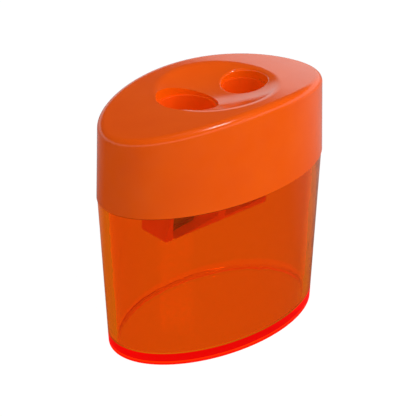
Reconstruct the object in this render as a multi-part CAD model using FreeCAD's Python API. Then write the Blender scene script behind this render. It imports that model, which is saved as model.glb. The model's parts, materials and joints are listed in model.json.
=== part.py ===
"""Two-hole pencil sharpener with a shavings container: one STEP per piece, in millimetres.

The object stands on z = 0 with its long axis along X, and its origin is the centre of the tub's underside.
A translucent oval tub catches the shavings. An opaque cap plugs onto its neck and carries the sharpener block,
which holds two blades, facing -Y, each with one countersunk screw.
"""
import FreeCAD
import Part
import math
import os

V = FreeCAD.Vector

# ---- driving dimensions, mm ----
CAP_LENGTH = 52.4          # across the tips of the oval, at the cap's lower rim
CAP_WIDTH = 29.3
SEAM_Z = 32.55             # the tub's shoulder, just under the cap's rim
SEAM_GAP = 0.15
CROWN_Z = 50.55            # highest point of the cap's arched top
TIP_DROP = 2.85            # how much lower the arch is at the tips of the oval
CAP_DRAFT = 0.55           # the oval is this much smaller all round at the top of the cap
CAP_WALL = 1.5
CAP_TOP_WALL = 1.2
CAP_EDGE_R = 1.5           # rounding between the cap's side and top
SKIRT_WALL = 0.8           # the cap's wall where it overlaps the tub's neck
SKIRT_ROOM = 0.4           # free height above the tub's neck

BOWL_X = 1.6               # centre of the shallow bowl around the two pencil holes
BOWL_DEPTH = 2.3
BOWL_HALF_LENGTH = 12.6
BOWL_HALF_WIDTH = 10.8
BOWL_EDGE_R = 3.0
BOWL_SWEEP = 50.0          # degrees of the arc that its section is swept along
BOWL_CUT_WIDTH = 0.8       # the section's half width, as a share of its radius
BOWL_CUT_RISE = 5.0        # how far the section reaches above its own edges

TUB_INSET = 0.15           # the tub is this much inside the cap's rim at the seam
TUB_TAPER_LENGTH = 2.15    # how far the tips draw in at the base
TUB_TAPER_WIDTH = 0.05
TUB_WALL = 1.6
TUB_FLOOR = 1.9
TUB_EDGE_R = 0.35
TUB_INNER_R = 0.6          # rounding between the tub's wall and floor, inside
FOOT_RECESS = 0.35         # depth of the panel under the tub
FOOT_RIM = 1.6
NECK_WALL = 0.75
NECK_HEIGHT = 4.0
NECK_CLEARANCE = 0.2
NECK_LEAD = 0.05           # the neck draws in by this much towards its top
NECK_EDGE_R = 0.25

BLOCK_TOP_Z = 46.85
BLOCK_BOTTOM_Z = 23.35
BLOCK_LEFT = -14.4
BLOCK_RIGHT = 11.2
BLOCK_FRONT_BOTTOM_Y = -2.9
BLOCK_FRONT_SLOPE = 12.5   # degrees that the front face leans out towards the top
BLOCK_BACK_Y = 4.5
BLOCK_BACK_TOP_Y = 7.1
SHOULDER_Z = 34.0          # above this the block is wider on its left, around the large blade
SHOULDER_LEFT = -16.2
COLLAR_TOP_Z = 47.75       # the block's two collars reach up into the cap's openings
COLLAR_CLEARANCE = 0.05
BOSS_WALL = 1.2
BOSS_HEIGHT = 12.0         # the tapered boss around the small bore, below the block's top
BOSS_FOOT_R = 3.5
FLANGE_THICKNESS = 2.0
FLANGE_FRONT_Y = -8.2
FRAME_WALL = 1.2           # the frame inside the cap that grips the block's flange
FRAME_DEPTH = 4.0

CONE_END_Z = 25.35         # the pencil's point reaches here
DROP_LENGTH = 5.0          # the small hole below the cone goes right through the block's underside
HOLE_EDGE_R = 0.5

BLADE_THICKNESS = 0.9
BLADE_WIDTH = 8.0
BLADE_LENGTH = 18.6
BLADE_BEVEL = 1.6          # width of the ground face beside the cutting edge
BLADE_BOTTOM_Z = 25.05
SEAT_CLEARANCE = 0.15
SEAT_BITE = 0.12           # the blade's seat cuts this far into the cone
POCKET_REACH = 8.0         # the pockets are cut this far out of the seat, past the block's front
THROAT_DEPTH = 1.0         # the shavings' way out cuts this far past the seat
THROAT_LIFT = 0.6          # it starts this far above the pocket's lower end
THROAT_MARGIN = 3.0        # it is this much shorter than the blade
SCREW_UP_BLADE = 6.6       # from the blade's lower end
SCREW_FROM_BACK = 2.4      # from the blade's back edge
SCREW_R = 1.0
SCREW_LENGTH = 4.4
SCREW_POINT = 0.6
SCREW_POINT_R = 0.2
SCREW_HEAD_R = 1.9
SCREW_HEAD_DEPTH = 0.9
SCREW_DOME = 0.15
SCREW_SLOT = 0.45
SCREW_SLOT_DEPTH = 0.4
SCREW_SLOT_TURN = 35.0
SCREW_FIT = 0.05           # all round, between the screw and the countersink, and the screw and its pilot hole
SCREW_CLEARANCE = 0.1      # all round, between the screw's shank and the blade

# One entry per pencil hole: its axis, the cap's opening, the guide and cone below it, the width of the way out
# for shavings, the x of its blade's back edge, and the degrees that the blade is turned in its own plane.
BORES = {
    "large": dict(x=-6.2, opening_r=5.95, guide_r=5.55, guide_length=3.1, point_r=0.9,
                  exit=3.2, blade_left=-14.0, skew=8.0),
    "small": dict(x=8.4, opening_r=4.45, guide_r=4.1, guide_length=4.7, point_r=0.8,
                  exit=2.2, blade_left=-0.2, skew=4.0),
}
BORE_Y = 0.3

# ---- worked out from those ----
CAP_SIZE = (CAP_LENGTH, CAP_WIDTH)
DRAFT_RATE = CAP_DRAFT / (CROWN_Z - SEAM_Z)
ARCH_R = ((CAP_LENGTH / 2) ** 2 + TIP_DROP ** 2) / (2 * TIP_DROP)
FLANGE_RIGHT = BORES["small"]["x"] + BORES["small"]["guide_r"] + BOSS_WALL
FAR = 200.0                # longer than anything here


def oval(length, width, z):
    """A closed wire: the object's oval outline at height z."""
    ellipse = Part.Ellipse(V(0, 0, z), length / 2, width / 2)
    return Part.Wire([ellipse.toShape()])


def oval_solid(low, high):
    """A solid between two ovals, each given as (length, width, z)."""
    return Part.makeLoft([oval(*low), oval(*high)], True, True)


def shrunk(size, inset, z):
    """An oval (length, width) drawn in by inset all round, at height z."""
    return (size[0] - 2 * inset, size[1] - 2 * inset, z)


def cap_oval(inset, z):
    """The cap's outline at height z, drawn in by inset."""
    return shrunk(CAP_SIZE, inset + DRAFT_RATE * (z - SEAM_Z), z)


def round_edges(shape, radius, wanted):
    """Fillets the edges for which wanted(edge) holds."""
    edges = [e for e in shape.Edges if wanted(e)]
    return shape.makeFillet(radius, edges)


def box_between(low, high):
    """A box from one corner (x, y, z) to the opposite one."""
    return Part.makeBox(*[b - a for a, b in zip(low, high)], V(*low))


def arch(drop):
    """Everything below the cap's arched top, lowered by drop."""
    centre = V(0, -FAR / 2, CROWN_Z - ARCH_R)
    cylinder = Part.makeCylinder(ARCH_R - drop, FAR, centre, V(0, 1, 0))
    cylinder.rotate(centre, V(0, 1, 0), 180)
    return cylinder


def bowl(grow):
    """What hollows the cap's top: an arc across the oval, swept on a larger arc along it.

    grow moves its surface down and out, for the underside.
    """
    tube_r = BOWL_HALF_WIDTH ** 2 / (2 * BOWL_DEPTH) + grow
    along = BOWL_DEPTH / BOWL_HALF_LENGTH ** 2 - 1 / (2 * ARCH_R)
    sweep_r = 1 / (2 * along)
    low_z = CROWN_Z - BOWL_X ** 2 / (2 * ARCH_R) - BOWL_DEPTH
    side_y = BOWL_CUT_WIDTH * tube_r
    side_z = low_z - grow + tube_r - math.sqrt(tube_r ** 2 - side_y ** 2)
    top_z = side_z + BOWL_CUT_RISE
    low, left, right = V(BOWL_X, 0, low_z - grow), V(BOWL_X, -side_y, side_z), V(BOWL_X, side_y, side_z)
    corner, far_corner = V(BOWL_X, side_y, top_z), V(BOWL_X, -side_y, top_z)
    across = Part.Arc(left, low, right).toShape()
    closing = Part.makePolygon([right, corner, far_corner, left]).Edges
    section = Part.Face(Part.Wire([across] + closing))
    sweep_centre = V(BOWL_X, 0, low_z + sweep_r)
    section.rotate(sweep_centre, V(0, 1, 0), BOWL_SWEEP / 2)
    return section.revolve(sweep_centre, V(0, 1, 0), -BOWL_SWEEP)


def is_bowl_rim(edge):
    """True for the long edges where the bowl meets the arch."""
    box = edge.BoundBox
    near_x = max(abs(box.XMax - BOWL_X), abs(box.XMin - BOWL_X)) < BOWL_HALF_LENGTH + 2
    near_y = max(abs(box.YMax), abs(box.YMin)) < BOWL_HALF_WIDTH + 1
    return box.ZMin > CROWN_Z - TIP_DROP and near_x and near_y and edge.Length > BOWL_HALF_WIDTH / 2


def is_hole_rim(edge):
    """True for the closed upper edge of a pencil opening."""
    box = edge.BoundBox
    high = box.ZMin > CROWN_Z - CAP_TOP_WALL - TIP_DROP
    widths = [2 * bore["opening_r"] for bore in BORES.values()]
    return high and any(max(abs(box.XLength - w), abs(box.YLength - w)) < COLLAR_CLEARANCE for w in widths)


def block_frame():
    """The frame inside the cap that grips the block's flange, with the collars above the bores."""
    low_z = BLOCK_TOP_Z - FRAME_DEPTH
    outer = box_between((SHOULDER_LEFT - FRAME_WALL, FLANGE_FRONT_Y - FRAME_WALL, low_z),
                        (FLANGE_RIGHT + FRAME_WALL, BLOCK_BACK_TOP_Y + FRAME_WALL, CROWN_Z))
    inner = box_between((SHOULDER_LEFT, FLANGE_FRONT_Y, low_z), (FLANGE_RIGHT, BLOCK_BACK_TOP_Y, CROWN_Z))
    frame = outer.cut(inner)
    for bore in BORES.values():
        place = V(bore["x"], BORE_Y, BLOCK_TOP_Z)
        frame = frame.fuse(Part.makeCylinder(bore["opening_r"] + BOSS_WALL, CROWN_Z - BLOCK_TOP_Z, place))
    return frame


def cap():
    """The opaque cap: arched top with a shallow bowl, two openings, a thin skirt and the block's frame."""
    rim_z = SEAM_Z + SEAM_GAP
    body = oval_solid(cap_oval(0, rim_z), cap_oval(0, CROWN_Z + 2)).common(arch(0))
    body = round_edges(body, CAP_EDGE_R, lambda e: e.BoundBox.ZMin > CROWN_Z - TIP_DROP - 1)
    body = body.cut(bowl(0))
    body = round_edges(body, BOWL_EDGE_R, is_bowl_rim)
    for bore in BORES.values():
        hole = Part.makeCylinder(bore["opening_r"], FAR, V(bore["x"], BORE_Y, 0))
        body = body.cut(hole)
    body = round_edges(body, HOLE_EDGE_R, is_hole_rim)
    hollow = oval_solid(cap_oval(CAP_WALL, rim_z - 1), cap_oval(CAP_WALL, CROWN_Z + 2))
    hollow = hollow.common(arch(CAP_TOP_WALL)).cut(bowl(CAP_TOP_WALL)).cut(block_frame())
    skirt_top = SEAM_Z + NECK_HEIGHT + SKIRT_ROOM
    skirt = oval_solid(cap_oval(SKIRT_WALL, rim_z - 1), cap_oval(SKIRT_WALL, skirt_top))
    return body.cut(hollow).cut(skirt)


def tub():
    """The translucent tub: drafted oval wall, thick floor with a shallow panel beneath, and the neck."""
    top = shrunk(CAP_SIZE, TUB_INSET, SEAM_Z)
    base = (top[0] - 2 * TUB_TAPER_LENGTH, top[1] - 2 * TUB_TAPER_WIDTH, 0)
    body = oval_solid(base, top)
    body = round_edges(body, TUB_EDGE_R, lambda e: e.BoundBox.ZMax < TUB_EDGE_R and e.Length > CAP_WIDTH)
    neck_inset = SKIRT_WALL + NECK_CLEARANCE
    neck_top_z = SEAM_Z + NECK_HEIGHT
    neck = oval_solid(shrunk(CAP_SIZE, neck_inset, SEAM_Z - 1), cap_oval(neck_inset + NECK_LEAD, neck_top_z))
    neck = round_edges(neck, NECK_EDGE_R, lambda e: e.BoundBox.ZMin > neck_top_z - NECK_EDGE_R)
    body = body.fuse(neck)
    hollow_top = shrunk(CAP_SIZE, neck_inset + NECK_WALL, neck_top_z + 1)
    hollow = oval_solid(shrunk(base, TUB_WALL, TUB_FLOOR), hollow_top)
    hollow = round_edges(hollow, TUB_INNER_R,
                         lambda e: e.BoundBox.ZMax < TUB_FLOOR + TUB_INNER_R and e.Length > CAP_WIDTH)
    panel = oval_solid(shrunk(base, FOOT_RIM, -1), shrunk(base, FOOT_RIM, FOOT_RECESS))
    return body.cut(hollow).cut(panel)


def cone_angle(bore):
    """Half the cone's angle, in radians: the blade's seat leans by this much."""
    rise = COLLAR_TOP_Z - bore["guide_length"] - CONE_END_Z
    return math.atan((bore["guide_r"] - bore["point_r"]) / rise)


def on_seat(bore, shape):
    """Moves a shape from the blade's own axes to its seat.

    Its own axes: x across the blade from the back edge to the cutting edge, z up along it, -y out of the seat.
    The seat runs along the cone's front line.
    """
    shape = shape.copy()
    shape.rotate(V(BLADE_WIDTH, 0, BLADE_LENGTH / 2), V(0, 1, 0), -bore["skew"])
    shape.rotate(V(0, 0, 0), V(1, 0, 0), math.degrees(cone_angle(bore)))
    above_point = BLADE_BOTTOM_Z - CONE_END_Z
    seat_y = BORE_Y + SEAT_BITE - bore["point_r"] - above_point * math.tan(cone_angle(bore))
    shape.translate(V(bore["blade_left"], seat_y, BLADE_BOTTOM_Z))
    return shape


def blade(bore):
    """A flat steel blade with a bevelled cutting edge and a countersunk hole."""
    width, front = BLADE_WIDTH, -BLADE_THICKNESS
    section = [V(0, 0, 0), V(width, 0, 0), V(width - BLADE_BEVEL, front, 0), V(0, front, 0), V(0, 0, 0)]
    body = Part.Face(Part.makePolygon(section)).extrude(V(0, 0, BLADE_LENGTH))
    screw_place = V(SCREW_FROM_BACK, front, SCREW_UP_BLADE)
    hole = Part.makeCylinder(SCREW_R + SCREW_CLEARANCE, BLADE_THICKNESS, screw_place, V(0, 1, 0))
    sink = Part.makeCone(SCREW_HEAD_R, SCREW_R, SCREW_HEAD_DEPTH, screw_place, V(0, 1, 0))
    return on_seat(bore, body.cut(hole).cut(sink))


def screw(bore):
    """A countersunk screw with a slot, its head flush with the blade."""
    seat = V(SCREW_FROM_BACK, -BLADE_THICKNESS, SCREW_UP_BLADE)
    inward = V(0, 1, 0)
    head_r, shank_r = SCREW_HEAD_R - SCREW_FIT, SCREW_R - SCREW_FIT
    straight = SCREW_LENGTH - SCREW_POINT
    head = Part.makeCone(head_r, shank_r, SCREW_HEAD_DEPTH, seat, inward)
    dome = Part.makeCylinder(head_r, SCREW_DOME, seat, V(0, -1, 0))
    shank = Part.makeCylinder(shank_r, straight, seat, inward)
    point = Part.makeCone(shank_r, SCREW_POINT_R, SCREW_POINT, seat + V(0, straight, 0), inward)
    slot = Part.makeBox(4 * SCREW_HEAD_R, 2 * SCREW_SLOT_DEPTH, SCREW_SLOT,
                        seat + V(-2 * SCREW_HEAD_R, -SCREW_SLOT_DEPTH, -SCREW_SLOT / 2))
    slot.rotate(seat, V(0, 1, 0), SCREW_SLOT_TURN)
    body = head.fuse([dome, shank, point]).removeSplitter()
    return on_seat(bore, body.cut(slot))


def blade_pocket(bore):
    """The recess for a blade, with the exit beside its cutting edge that the shavings leave by."""
    gap = SEAT_CLEARANCE
    pocket = box_between((-gap, -POCKET_REACH, -gap), (BLADE_WIDTH + bore["exit"], 0, BLADE_LENGTH + gap))
    throat = box_between((BLADE_WIDTH + gap, -POCKET_REACH, THROAT_LIFT),
                         (BLADE_WIDTH + bore["exit"], THROAT_DEPTH, BLADE_LENGTH - THROAT_MARGIN + THROAT_LIFT))
    pilot = Part.makeCylinder(SCREW_R, SCREW_LENGTH, V(SCREW_FROM_BACK, 0, SCREW_UP_BLADE), V(0, 1, 0))
    return on_seat(bore, pocket.fuse([throat, pilot]))


def pencil_bore(bore):
    """The space for a pencil: guide, cone and a small hole that lets a broken point drop out."""
    guide_z = COLLAR_TOP_Z - bore["guide_length"]
    guide = Part.makeCylinder(bore["guide_r"], bore["guide_length"] + 1, V(bore["x"], BORE_Y, guide_z))
    tip = V(bore["x"], BORE_Y, CONE_END_Z)
    cone = Part.makeCone(bore["point_r"], bore["guide_r"], guide_z - CONE_END_Z, tip)
    drop = Part.makeCylinder(bore["point_r"], DROP_LENGTH, tip - V(0, 0, DROP_LENGTH))
    return guide.fuse([cone, drop])


def block_wedge():
    """The block's body: its side view drawn out along X, wider on the left above the shoulder."""
    front_rise = BLOCK_TOP_Z - BLOCK_BOTTOM_Z
    front_top_y = BLOCK_FRONT_BOTTOM_Y - front_rise * math.tan(math.radians(BLOCK_FRONT_SLOPE))
    side = [(BLOCK_FRONT_BOTTOM_Y, BLOCK_BOTTOM_Z), (BLOCK_BACK_Y, BLOCK_BOTTOM_Z), (BLOCK_BACK_Y, SHOULDER_Z),
            (BLOCK_BACK_TOP_Y, BLOCK_TOP_Z - FLANGE_THICKNESS), (BLOCK_BACK_TOP_Y, BLOCK_TOP_Z),
            (front_top_y, BLOCK_TOP_Z)]
    points = [V(SHOULDER_LEFT, y, z) for y, z in side + side[:1]]
    wedge = Part.Face(Part.makePolygon(points)).extrude(V(BLOCK_RIGHT - SHOULDER_LEFT, 0, 0))
    return wedge.cut(box_between((-FAR, -FAR, 0), (BLOCK_LEFT, FAR, SHOULDER_Z)))


def block():
    """The moulded block: a wedge with a flange at the top, two pencil bores and two blade pockets."""
    flange = box_between((SHOULDER_LEFT, FLANGE_FRONT_Y, BLOCK_TOP_Z - FLANGE_THICKNESS),
                         (FLANGE_RIGHT, BLOCK_BACK_TOP_Y, BLOCK_TOP_Z))
    small = BORES["small"]
    boss = Part.makeCone(BOSS_FOOT_R, small["guide_r"] + BOSS_WALL, BOSS_HEIGHT,
                         V(small["x"], BORE_Y, BLOCK_TOP_Z - BOSS_HEIGHT))
    body = block_wedge().fuse([flange, boss])
    for bore in BORES.values():
        place = V(bore["x"], BORE_Y, BLOCK_TOP_Z - 1)
        collar_r = bore["opening_r"] - COLLAR_CLEARANCE
        body = body.fuse(Part.makeCylinder(collar_r, COLLAR_TOP_Z - place.z, place))
    body = body.removeSplitter()
    for bore in BORES.values():
        body = body.cut(pencil_bore(bore)).cut(blade_pocket(bore))
    return body


def build():
    """Every piece of the object by its node's name."""
    pieces = {"container": tub(), "lid": cap(), "sharpener_block": block()}
    for name, bore in BORES.items():
        pieces[name + "_blade"] = blade(bore)
        pieces[name + "_blade_screw"] = screw(bore)
    return pieces


os.makedirs("parts", exist_ok=True)
for node, shape in build().items():
    solids = len(shape.Solids)
    print(f"{node}: {solids} solid(s), valid {shape.isValid()}, {shape.Volume:.1f} mm3")
    shape.exportStep(os.path.join("parts", node + ".step"))
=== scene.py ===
"""Looks for the pencil sharpener: camera, studio, and one procedural material for each kind of surface."""
import bpy
import json
import math
from mathutils import Matrix, Vector


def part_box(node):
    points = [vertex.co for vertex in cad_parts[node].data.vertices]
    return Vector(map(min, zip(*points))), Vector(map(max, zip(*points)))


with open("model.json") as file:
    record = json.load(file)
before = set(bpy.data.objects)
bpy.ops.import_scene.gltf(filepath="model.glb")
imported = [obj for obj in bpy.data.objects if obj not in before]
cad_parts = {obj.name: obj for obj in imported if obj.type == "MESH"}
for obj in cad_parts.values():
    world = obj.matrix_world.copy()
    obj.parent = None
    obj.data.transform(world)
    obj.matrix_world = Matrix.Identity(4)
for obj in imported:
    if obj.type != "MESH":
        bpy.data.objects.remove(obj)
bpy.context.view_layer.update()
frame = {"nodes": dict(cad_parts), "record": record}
nodes = frame["nodes"]

# ---- camera: metres, degrees and pixels ----
IMAGE_SIDE = 417
CAMERA_AZIMUTH = -41.85
CAMERA_ELEVATION = 26.81
CAMERA_ROLL = 0.41
CAMERA_DISTANCE = 0.3636
CAMERA_TARGET_Z = 0.03255  # the seam between cap and tub, on the object's axis
CAMERA_NEAR = 0.01
CAMERA_FAR = 20
FOCAL_PIXELS = 1874.0
AIM_RIGHT = -3.7           # the optical axis, in pixels from the target
AIM_DOWN = 38.1
SENSOR = 36.0              # millimetres

# ---- studio: metres, degrees and watts ----
BACKDROP_ELEVATION = 20.0  # the white backdrop reaches this high
BACKDROP_SOFT = 0.01       # half the width of its upper edge, as a sine
BACKDROP_LIGHT = 1.3
ROOM_LIGHT = 0.12
FLOOR_HALF_SIDE = 3.0
FLOOR_DROP = 0.00005       # keeps the floor clear of the foot
FLOOR_GREY = 0.03
FLOOR_ROUGHNESS = 0.7
FLOOR_LIGHT = 0.65         # what the floor sends to matt surfaces and through the tub
MIRRORED_FRONT = 0.02      # what polished surfaces mirror of the floor in front of the object
MIRRORED_BACK = 0.36       # and behind it
MIRRORED_WAY = 0.67, 0.74, 0
MIRRORED_START = 0.01      # along that way, front turns to back between these
MIRRORED_END = 0.08
LIGHTS = [                 # name, place, side, watts, whether polished surfaces mirror it
    ("key", (0.2, -0.49, 0.76), 0.16, 2.4, True),
    ("overhead", (0.1, -0.2, 0.8), 0.45, 1.75, False),
    ("front_right", (0.45, -0.6, 0.35), 0.3, 1.3, False),
]

# ---- surfaces: a pair is a range that noise runs over ----
LID_COLOURS = (0.92, 0.1, 0.0005), (0.95, 0.112, 0.001)
LID_ROUGHNESS = 0.13, 0.2
LID_IOR = 1.44
TUB_COLOUR = 0.97, 0.42, 0.02
TUB_ROUGHNESS = 0.02, 0.05
TUB_IOR = 1.5
TUB_DYE = 0.985, 0.80, 0.0
TUB_DYE_DENSITY = 1000.0   # per metre
BLOCK_COLOURS = (0.9, 0.07, 0.002), (0.95, 0.085, 0.004)
BLOCK_ROUGHNESS = 0.28, 0.4
BLADE_COLOURS = (0.3, 0.3, 0.31), (0.46, 0.46, 0.48)
BLADE_ROUGHNESS = 0.22, 0.38
SCREW_COLOURS = (0.5, 0.47, 0.4), (0.7, 0.67, 0.6)
SCREW_ROUGHNESS = 0.2, 0.35

# ---- painted glow: emission standing in for light that the plastic lets through or gathers; strengths and metres ----
# painted glow in the pencil holes of cap and block
PAINTED_HOLE_GLOW_COLOUR = 1.0, 0.2, 0.0
LID_PAINTED_GLOW = 0.0
LID_HOLE_PAINTED_GLOW = 0.08
# painted glow over the whole block, and a weaker one around its holes
BLOCK_PAINTED_GLOW = 0.13
BLOCK_HOLE_PAINTED_GLOW = 0.1
OPENING_GAP = 0.00042      # the cap's openings are this much wider all round than the guides below them
OPENING_SOFT = 0.00005
# painted glow over the whole tub
TUB_PAINTED_GLOW_COLOUR = 1.0, 0.2, 0.0
TUB_PAINTED_GLOW = 0.02
SIDE_PAINTED_GLOW = 0.2            # painted glow added where the tub's wall is seen at a slant
SIDE_SLANT = 0.6, 0.95     # the slants at which that starts and is full
# painted red colour and painted glow at the rim of the tub's thick floor
EDGE_PAINTED_RED = 0.9, 0.01, 0.0
EDGE_PAINTED_GLOW_COLOUR = 1.0, 0.0, 0.0
EDGE_PAINTED_GLOW = 0.62
EDGE_GLOW_TOP = 0.0026     # the painted red colour and glow at the rim of the tub's thick floor reach up to here
EDGE_TOP_SOFT = 0.0002
EDGE_SHARE = 0.93          # and outside this share of the base oval
EDGE_SHARE_SOFT = 0.02
INNER_EDGE_SHARE = 0.2     # how much of the painted edge glow shows on its inner side
TUB_TAPER = 0.0021         # how far the tub's tips draw in at the base


def make_camera():
    """A long lens on the left of the object's front, looking down at it."""
    az, el, roll = (math.radians(v) for v in (CAMERA_AZIMUTH, CAMERA_ELEVATION, CAMERA_ROLL))
    back = Vector((math.sin(az) * math.cos(el), -math.cos(az) * math.cos(el), math.sin(el)))
    ahead = -back
    right = ahead.cross(Vector((0, 0, 1))).normalized()
    up = right.cross(ahead)
    right, up = right * math.cos(roll) + up * math.sin(roll), up * math.cos(roll) - right * math.sin(roll)
    aim = (ahead + right * AIM_RIGHT / FOCAL_PIXELS - up * AIM_DOWN / FOCAL_PIXELS).normalized()
    right = (right - aim * right.dot(aim)).normalized()
    up = right.cross(aim)
    data = bpy.data.cameras.new("camera")
    data.sensor_width = SENSOR
    data.lens = FOCAL_PIXELS * SENSOR / IMAGE_SIDE
    data.clip_start = CAMERA_NEAR
    data.clip_end = CAMERA_FAR
    camera = bpy.data.objects.new("camera", data)
    turn = Matrix((right, up, -aim)).transposed().to_4x4()
    place = Vector((0, 0, CAMERA_TARGET_Z)) + back * CAMERA_DISTANCE
    camera.matrix_world = Matrix.Translation(place) @ turn
    bpy.context.scene.collection.objects.link(camera)
    bpy.context.scene.camera = camera


# ---- shader nodes ----
def new_material(name):
    """A material with one Principled shader; returns (material, tree, shader)."""
    material = bpy.data.materials.new(name)
    material.use_nodes = True
    return material, material.node_tree, material.node_tree.nodes["Principled BSDF"]


def feed(tree, socket, value):
    """Gives the socket a value, which is a number or another node's output."""
    if isinstance(value, (int, float)):
        socket.default_value = value
    else:
        tree.links.new(value, socket)


def spread(tree, value, low, high, start=0.3, end=0.7):
    """value, stretched from start..end to low..high, and held at low and high beyond them."""
    node = tree.nodes.new("ShaderNodeMapRange")
    node.inputs["From Min"].default_value = start
    node.inputs["From Max"].default_value = end
    node.inputs["To Min"].default_value = low
    node.inputs["To Max"].default_value = high
    feed(tree, node.inputs["Value"], value)
    return node.outputs["Result"]


def combine(tree, first, second, operation):
    """The ADD, SUBTRACT, MULTIPLY or MAXIMUM of two values."""
    node = tree.nodes.new("ShaderNodeMath")
    node.operation = operation
    feed(tree, node.inputs[0], first)
    feed(tree, node.inputs[1], second)
    return node.outputs["Value"]


def choose(tree, factor, first, second):
    """The first value where factor is 0, and the second where it is 1."""
    node = tree.nodes.new("ShaderNodeMix")
    feed(tree, node.inputs["Factor"], factor)
    feed(tree, node.inputs["A"], first)
    feed(tree, node.inputs["B"], second)
    return node.outputs["Result"]


def vector_math(tree, operation, linked, fixed=None):
    """The outputs of a Vector Math node on a linked vector and, if there is one, a fixed vector."""
    node = tree.nodes.new("ShaderNodeVectorMath")
    node.operation = operation
    tree.links.new(linked, node.inputs[0])
    if fixed is not None:
        node.inputs[1].default_value = fixed
    return node.outputs


def object_place(tree):
    """The place in the object's own space, in metres."""
    return tree.nodes.new("ShaderNodeTexCoord").outputs["Object"]


def height(tree, place):
    """The Z of a place or a direction."""
    split = tree.nodes.new("ShaderNodeSeparateXYZ")
    tree.links.new(place, split.inputs["Vector"])
    return split.outputs["Z"]


def noise(tree, scale, detail=2.0, stretch=(1, 1, 1)):
    """Noise in the object's own space; scale counts features per millimetre."""
    place = tree.nodes.new("ShaderNodeMapping")
    place.inputs["Scale"].default_value = [1000 * scale * s for s in stretch]
    texture = tree.nodes.new("ShaderNodeTexNoise")
    texture.inputs["Scale"].default_value = 1.0
    texture.inputs["Detail"].default_value = detail
    tree.links.new(object_place(tree), place.inputs["Vector"])
    tree.links.new(place.outputs["Vector"], texture.inputs["Vector"])
    return texture.outputs["Fac"]


def blend_colours(tree, shader, value, first, second, socket="Base Color"):
    """A colour of the shader that runs from first to second with value."""
    mix = tree.nodes.new("ShaderNodeMix")
    mix.data_type = "RGBA"
    mix.inputs["A"].default_value = (*first, 1)
    mix.inputs["B"].default_value = (*second, 1)
    tree.links.new(value, mix.inputs["Factor"])
    tree.links.new(mix.outputs["Result"], shader.inputs[socket])


def vary(tree, shader, colours, colour_noise, roughness, roughness_noise):
    """The shader's colour and roughness, each run over its range by a noise."""
    blend_colours(tree, shader, spread(tree, colour_noise, 0, 1), *colours)
    tree.links.new(spread(tree, roughness_noise, *roughness), shader.inputs["Roughness"])


def add_bump(tree, shader, value, height_mm):
    """Bump of the given height from value."""
    node = tree.nodes.new("ShaderNodeBump")
    node.inputs["Strength"].default_value = 1.0
    node.inputs["Distance"].default_value = height_mm / 1000
    tree.links.new(value, node.inputs["Height"])
    tree.links.new(node.outputs["Normal"], shader.inputs["Normal"])


# ---- studio ----
def make_world():
    """A white backdrop up to a low height, and a room above it that polished surfaces mirror dimly."""
    world = bpy.data.worlds.new("studio")
    world.use_nodes = True
    bpy.context.scene.world = world
    tree = world.node_tree
    tree.nodes.clear()
    sky = tree.nodes.new("ShaderNodeTexCoord").outputs["Generated"]
    edge = math.sin(math.radians(BACKDROP_ELEVATION))
    start, end = edge - BACKDROP_SOFT, edge + BACKDROP_SOFT
    around = spread(tree, height(tree, sky), BACKDROP_LIGHT, ROOM_LIGHT, start, end)
    path = tree.nodes.new("ShaderNodeLightPath")
    direct = combine(tree, path.outputs["Is Camera Ray"], path.outputs["Is Transmission Ray"], "MAXIMUM")
    light = tree.nodes.new("ShaderNodeBackground")
    out = tree.nodes.new("ShaderNodeOutputWorld")
    tree.links.new(choose(tree, direct, around, 1.0), light.inputs["Strength"])
    tree.links.new(light.outputs["Background"], out.inputs["Surface"])


def area_light(name, place, side, watts, mirrored):
    """A soft square light at place, facing the object; polished surfaces mirror it if mirrored is true."""
    data = bpy.data.lights.new(name, "AREA")
    data.size = side
    data.energy = watts
    light = bpy.data.objects.new(name, data)
    light.location = place
    middle = Vector((0, 0, CAMERA_TARGET_Z))
    light.rotation_euler = (middle - Vector(place)).to_track_quat("-Z", "Y").to_euler()
    light.visible_glossy = mirrored
    bpy.context.scene.collection.objects.link(light)


def floor_white():
    """White paper, lit from behind: pure white to the camera, dimmer to matt surfaces and through the tub,
    and darkest in front of the object where its polished sides mirror it."""
    material, tree, shader = new_material("floor_white")
    path = tree.nodes.new("ShaderNodeLightPath")
    along = vector_math(tree, "DOT_PRODUCT", object_place(tree), MIRRORED_WAY)["Value"]
    mirrored = spread(tree, along, MIRRORED_FRONT, MIRRORED_BACK, MIRRORED_START, MIRRORED_END)
    opaque = combine(tree, 1.0, path.outputs["Is Transmission Ray"], "SUBTRACT")
    mirror = combine(tree, path.outputs["Is Glossy Ray"], opaque, "MULTIPLY")
    lit = choose(tree, mirror, FLOOR_LIGHT, mirrored)
    tree.links.new(choose(tree, path.outputs["Is Camera Ray"], lit, 1.0), shader.inputs["Emission Strength"])
    shader.inputs["Emission Color"].default_value = (1, 1, 1, 1)
    shader.inputs["Base Color"].default_value = (FLOOR_GREY, FLOOR_GREY, FLOOR_GREY, 1)
    shader.inputs["Roughness"].default_value = FLOOR_ROUGHNESS
    shader.inputs["Specular IOR Level"].default_value = 0.0
    return material


def make_floor():
    """A plain white floor, well past the edges of the picture."""
    side = FLOOR_HALF_SIDE
    mesh = bpy.data.meshes.new("floor")
    corners = [(-side, -side, 0), (side, -side, 0), (side, side, 0), (-side, side, 0)]
    mesh.from_pydata(corners, [], [(0, 1, 2, 3)])
    floor = bpy.data.objects.new("floor", mesh)
    floor.location.z = -FLOOR_DROP
    bpy.context.scene.collection.objects.link(floor)
    floor.data.materials.append(floor_white())


# ---- materials ----
def near_axis(tree, centre, radius):
    """1 within radius of the vertical line through centre, falling to 0 just outside it."""
    offset = vector_math(tree, "SUBTRACT", object_place(tree), (centre[0], centre[1], 0))["Vector"]
    flat = vector_math(tree, "MULTIPLY", offset, (1, 1, 0))["Vector"]
    far = vector_math(tree, "LENGTH", flat)["Value"]
    return spread(tree, far, 1, 0, radius, radius + OPENING_SOFT)


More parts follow.
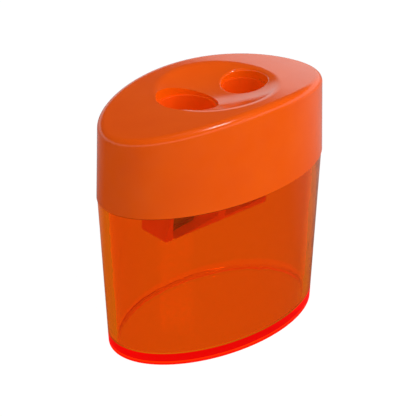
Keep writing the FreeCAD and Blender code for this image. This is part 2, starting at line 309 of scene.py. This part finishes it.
def painted_glow_in_holes(tree, shader, elsewhere, in_holes):
    """Painted glow: emission standing in for light that thin plastic lets through, with its own strength
    around the two pencil holes.
    """
    bores = [mount for mount in frame["record"]["mounts"] if mount["kind"] == "bore"]
    near = [near_axis(tree, m["pos_m"], m["dims"]["r_mm"] / 1000 + OPENING_GAP) for m in bores]
    inside = combine(tree, near[0], near[1], "MAXIMUM")
    tree.links.new(spread(tree, inside, elsewhere, in_holes, 0, 1), shader.inputs["Emission Strength"])
    shader.inputs["Emission Color"].default_value = (*PAINTED_HOLE_GLOW_COLOUR, 1)


def lid_plastic():
    """Opaque orange plastic, polished, with faint moulding ripple and handling marks, and a painted glow
    around the two pencil holes.
    """
    material, tree, shader = new_material("lid_plastic")
    tint, marks = noise(tree, scale=0.12), noise(tree, scale=0.4, detail=4)
    vary(tree, shader, LID_COLOURS, tint, LID_ROUGHNESS, marks)
    shader.inputs["IOR"].default_value = LID_IOR
    painted_glow_in_holes(tree, shader, LID_PAINTED_GLOW, LID_HOLE_PAINTED_GLOW)
    add_bump(tree, shader, noise(tree, scale=0.25), height_mm=0.01)
    return material


def painted_edge_glow_mask(tree):
    """Mask of the painted red colour and glow: 1 on the outside of the tub's thick floor at its rim, less on
    the inside, and 0 elsewhere.
    """
    half_length, half_width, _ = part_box("container")[1]
    place = object_place(tree)
    oval = (1 / (half_length - TUB_TAPER), 1 / half_width, 0)
    share = vector_math(tree, "LENGTH", vector_math(tree, "MULTIPLY", place, oval)["Vector"])["Value"]
    rim = spread(tree, share, 0, 1, EDGE_SHARE, EDGE_SHARE + EDGE_SHARE_SOFT)
    low = spread(tree, height(tree, place), 1, 0, EDGE_GLOW_TOP, EDGE_GLOW_TOP + EDGE_TOP_SOFT)
    surface = tree.nodes.new("ShaderNodeNewGeometry")
    side = spread(tree, surface.outputs["Backfacing"], 1, INNER_EDGE_SHARE, 0, 1)
    return combine(tree, combine(tree, rim, low, "MULTIPLY"), side, "MULTIPLY")


def painted_side_glow(tree):
    """Painted glow, standing in for light that the tub's wall gathers, shown where the wall is seen at a
    slant.
    """
    slant = tree.nodes.new("ShaderNodeLayerWeight")
    slant.inputs["Blend"].default_value = 0.5
    return spread(tree, slant.outputs["Facing"], 0, SIDE_PAINTED_GLOW, *SIDE_SLANT)


def tub_plastic():
    """See-through orange plastic, with dye in its volume, a faint painted glow all over that grows where the
    wall is seen at a slant, and a painted red colour and glow at the edge of its floor.
    """
    material, tree, shader = new_material("tub_plastic")
    shader.inputs["Transmission Weight"].default_value = 1.0
    shader.inputs["IOR"].default_value = TUB_IOR
    marks = noise(tree, scale=0.4, detail=4)
    tree.links.new(spread(tree, marks, *TUB_ROUGHNESS), shader.inputs["Roughness"])
    dye = tree.nodes.new("ShaderNodeVolumeAbsorption")
    dye.inputs["Color"].default_value = (*TUB_DYE, 1)
    dye.inputs["Density"].default_value = TUB_DYE_DENSITY
    tree.links.new(dye.outputs["Volume"], tree.nodes["Material Output"].inputs["Volume"])
    edge = painted_edge_glow_mask(tree)
    blend_colours(tree, shader, edge, TUB_COLOUR, EDGE_PAINTED_RED)
    blend_colours(tree, shader, edge, TUB_PAINTED_GLOW_COLOUR, EDGE_PAINTED_GLOW_COLOUR, "Emission Color")
    glow = combine(tree, spread(tree, edge, TUB_PAINTED_GLOW, EDGE_PAINTED_GLOW, 0, 1), painted_side_glow(tree), "ADD")
    tree.links.new(glow, shader.inputs["Emission Strength"])
    return material


def block_plastic():
    """Opaque red-orange plastic, satin, with a painted glow all over it and a slightly weaker one around the
    two pencil holes.
    """
    material, tree, shader = new_material("block_plastic")
    tint, marks = noise(tree, scale=0.2), noise(tree, scale=0.5, detail=4)
    vary(tree, shader, BLOCK_COLOURS, tint, BLOCK_ROUGHNESS, marks)
    painted_glow_in_holes(tree, shader, BLOCK_PAINTED_GLOW, BLOCK_HOLE_PAINTED_GLOW)
    add_bump(tree, shader, noise(tree, scale=1.5, detail=3), height_mm=0.004)
    return material


def blade_steel():
    """Ground steel, with the grinding marks across the blade."""
    material, tree, shader = new_material("blade_steel")
    shader.inputs["Metallic"].default_value = 1.0
    grain = noise(tree, scale=1.0, detail=6, stretch=(0.4, 1, 9))
    vary(tree, shader, BLADE_COLOURS, grain, BLADE_ROUGHNESS, grain)
    add_bump(tree, shader, grain, height_mm=0.004)
    return material


def screw_steel():
    """Plated steel with a few darker spots."""
    material, tree, shader = new_material("screw_steel")
    shader.inputs["Metallic"].default_value = 1.0
    spots = noise(tree, scale=1.8, detail=5)
    vary(tree, shader, SCREW_COLOURS, spots, SCREW_ROUGHNESS, spots)
    add_bump(tree, shader, spots, height_mm=0.003)
    return material


def paint(names, material):
    """Gives these CAD nodes a material in place of their own."""
    for name in names:
        data = nodes[name].data
        data.materials.clear()
        data.materials.append(material)


make_camera()
make_world()
for light in LIGHTS:
    area_light(*light)
make_floor()
paint(["lid"], lid_plastic())
paint(["container"], tub_plastic())
paint(["sharpener_block"], block_plastic())
paint(["large_blade", "small_blade"], blade_steel())
paint(["large_blade_screw", "small_blade_screw"], screw_steel())
bpy.context.scene.view_settings.view_transform = "Standard"
